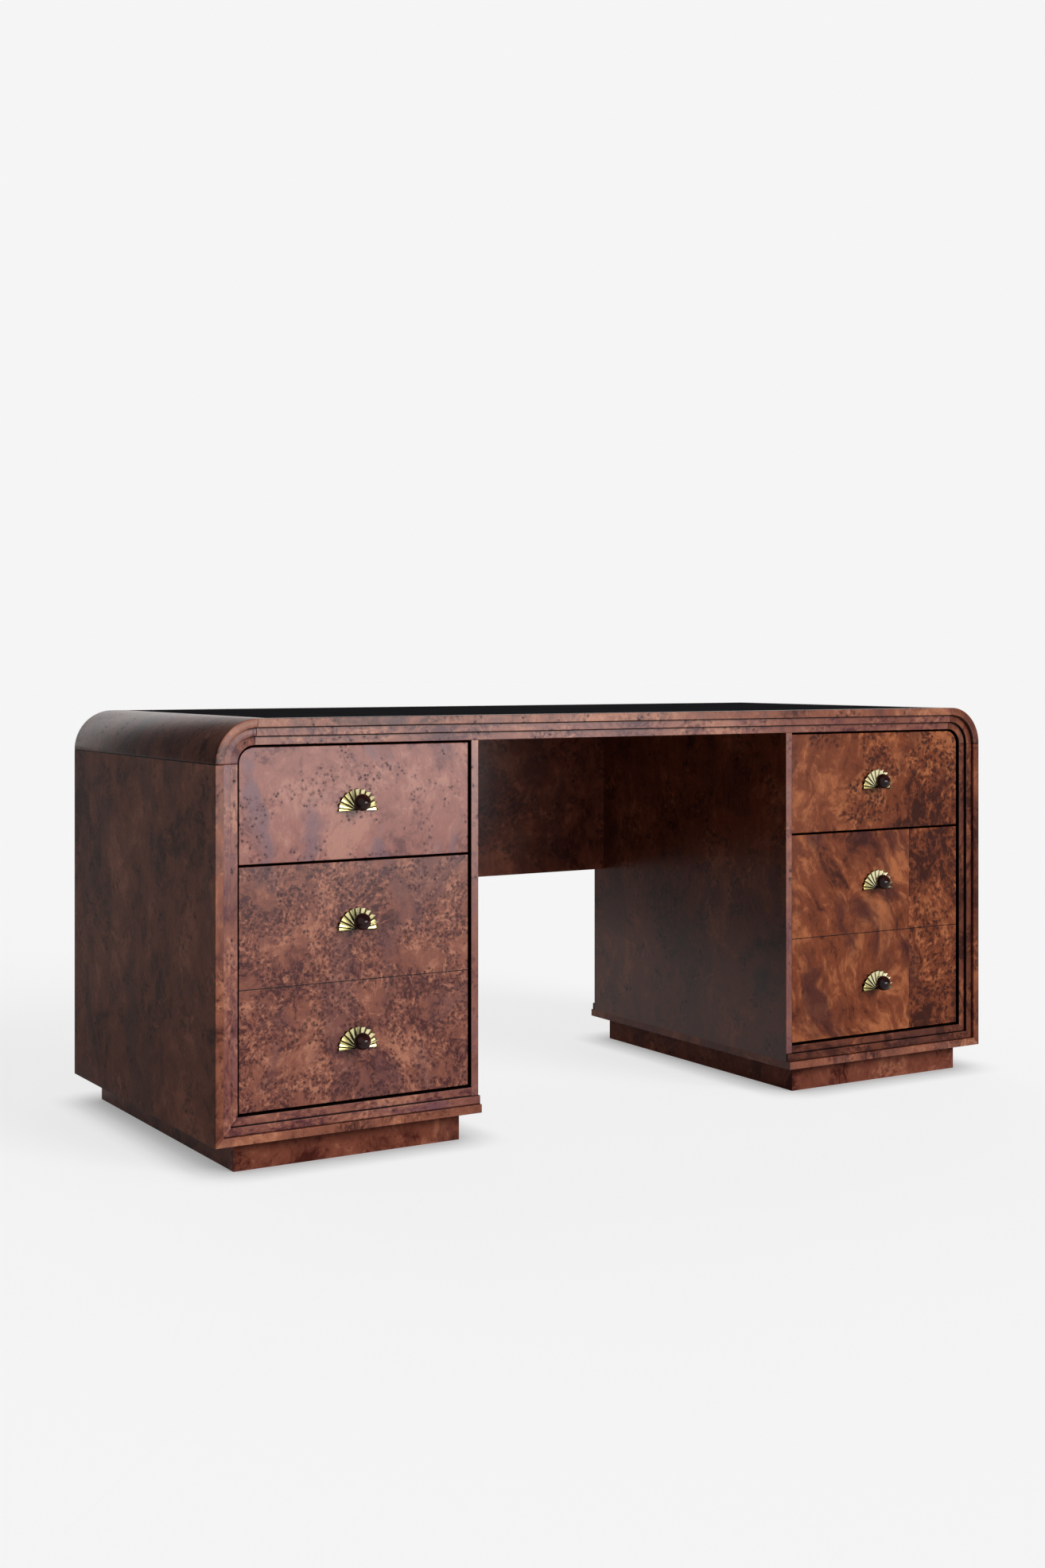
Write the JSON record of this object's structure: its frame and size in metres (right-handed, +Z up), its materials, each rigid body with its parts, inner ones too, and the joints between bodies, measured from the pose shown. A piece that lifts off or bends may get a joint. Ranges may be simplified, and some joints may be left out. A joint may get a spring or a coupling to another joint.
{
  "type": "pedestal desk",
  "caption": "Waterfall pedestal desk with stepped frame, leather top, burl veneer and drawers with ball knobs on pleated half-round brass plates.",
  "frame": {"origin": "on the floor, under the middle of the desk's overall box, knobs included", "axes": "+X to the right of someone facing the drawers, +Y from the drawers to the back, +Z up"},
  "size_m": [1.727, 0.729, 0.762],
  "materials": {
    "burl_veneer": "satin lacquered burl",
    "frame_veneer": "satin lacquered burl",
    "plinth_veneer": "satin lacquered burl",
    "drawer_wood": "clear lacquer",
    "carcass_board": "bare",
    "black_leather": "fine grain",
    "polished_brass": "polished",
    "oxblood_ball": "gloss",
    "zinc_steel": "zinc plated"
  },
  "bodies": {
    "carcass": {"top_panel": "burl_veneer", "top_core": "carcass_board", "leather_inset": "black_leather", "left_corner_shell": "burl_veneer", "right_corner_shell": "burl_veneer", "left_side_panel": "burl_veneer", "right_side_panel": "burl_veneer", "left_knee_panel": "burl_veneer", "right_knee_panel": "burl_veneer", "floor_panels": "burl_veneer", "back_panels": "burl_veneer", "modesty_panel": "burl_veneer", "front_top_rail": "frame_veneer", "front_left_corner": "frame_veneer", "front_right_corner": "frame_veneer", "front_left_stile": "frame_veneer", "front_right_stile": "frame_veneer", "front_left_foot_rail": "frame_veneer", "front_right_foot_rail": "frame_veneer", "back_top_rail": "frame_veneer", "back_corners": "frame_veneer", "back_stiles": "frame_veneer", "back_foot_rails": "frame_veneer", "left_plinth": "plinth_veneer", "right_plinth": "plinth_veneer", "plinth_blocks": "carcass_board", "runner_battens": "carcass_board", "runner_cabinet_members": "zinc_steel"},
    "left_top_drawer": {"left_top_drawer_front": "burl_veneer", "left_top_drawer_box": "drawer_wood", "left_top_drawer_bottom": "drawer_wood", "left_top_fan_plate": "polished_brass", "left_top_knob": "oxblood_ball", "left_top_knob_screw": "zinc_steel", "left_top_runner_drawer_members": "zinc_steel"},
    "left_top_runner_middle": {"left_top_runner_middle_members": "zinc_steel"},
    "left_deep_drawer": {"left_deep_drawer_front": "burl_veneer", "left_deep_drawer_box": "drawer_wood", "left_deep_drawer_bottom": "drawer_wood", "left_deep_fan_plates": "polished_brass", "left_deep_knobs": "oxblood_ball", "left_deep_knob_screws": "zinc_steel", "left_deep_runner_drawer_members": "zinc_steel"},
    "left_deep_runner_middle": {"left_deep_runner_middle_members": "zinc_steel"},
    "right_top_drawer": {"right_top_drawer_front": "burl_veneer", "right_top_drawer_box": "drawer_wood", "right_top_drawer_bottom": "drawer_wood", "right_top_fan_plate": "polished_brass", "right_top_knob": "oxblood_ball", "right_top_knob_screw": "zinc_steel", "right_top_runner_drawer_members": "zinc_steel"},
    "right_top_runner_middle": {"right_top_runner_middle_members": "zinc_steel"},
    "right_deep_drawer": {"right_deep_drawer_front": "burl_veneer", "right_deep_drawer_box": "drawer_wood", "right_deep_drawer_bottom": "drawer_wood", "right_deep_fan_plates": "polished_brass", "right_deep_knobs": "oxblood_ball", "right_deep_knob_screws": "zinc_steel", "right_deep_runner_drawer_members": "zinc_steel"},
    "right_deep_runner_middle": {"right_deep_runner_middle_members": "zinc_steel"}
  },
  "joints": [
    {"name": "left_top_drawer_slide", "type": "slide", "parent": "carcass", "child": "left_top_drawer", "axis": [0, -1, 0], "range_m": [0, 0.5]},
    {"name": "left_top_runner_slide", "type": "slide", "parent": "carcass", "child": "left_top_runner_middle", "axis": [0, -1, 0], "range_m": [0, 0.25]},
    {"name": "left_deep_drawer_slide", "type": "slide", "parent": "carcass", "child": "left_deep_drawer", "axis": [0, -1, 0], "range_m": [0, 0.5]},
    {"name": "left_deep_runner_slide", "type": "slide", "parent": "carcass", "child": "left_deep_runner_middle", "axis": [0, -1, 0], "range_m": [0, 0.25]},
    {"name": "right_top_drawer_slide", "type": "slide", "parent": "carcass", "child": "right_top_drawer", "axis": [0, -1, 0], "range_m": [0, 0.5]},
    {"name": "right_top_runner_slide", "type": "slide", "parent": "carcass", "child": "right_top_runner_middle", "axis": [0, -1, 0], "range_m": [0, 0.25]},
    {"name": "right_deep_drawer_slide", "type": "slide", "parent": "carcass", "child": "right_deep_drawer", "axis": [0, -1, 0], "range_m": [0, 0.5]},
    {"name": "right_deep_runner_slide", "type": "slide", "parent": "carcass", "child": "right_deep_runner_middle", "axis": [0, -1, 0], "range_m": [0, 0.25]}
  ],
  "couplings": [
    {"joint": "left_top_runner_slide", "follows": "left_top_drawer_slide", "ratio": 0.5},
    {"joint": "left_deep_runner_slide", "follows": "left_deep_drawer_slide", "ratio": 0.5},
    {"joint": "right_top_runner_slide", "follows": "right_top_drawer_slide", "ratio": 0.5},
    {"joint": "right_deep_runner_slide", "follows": "right_deep_drawer_slide", "ratio": 0.5}
  ]
}
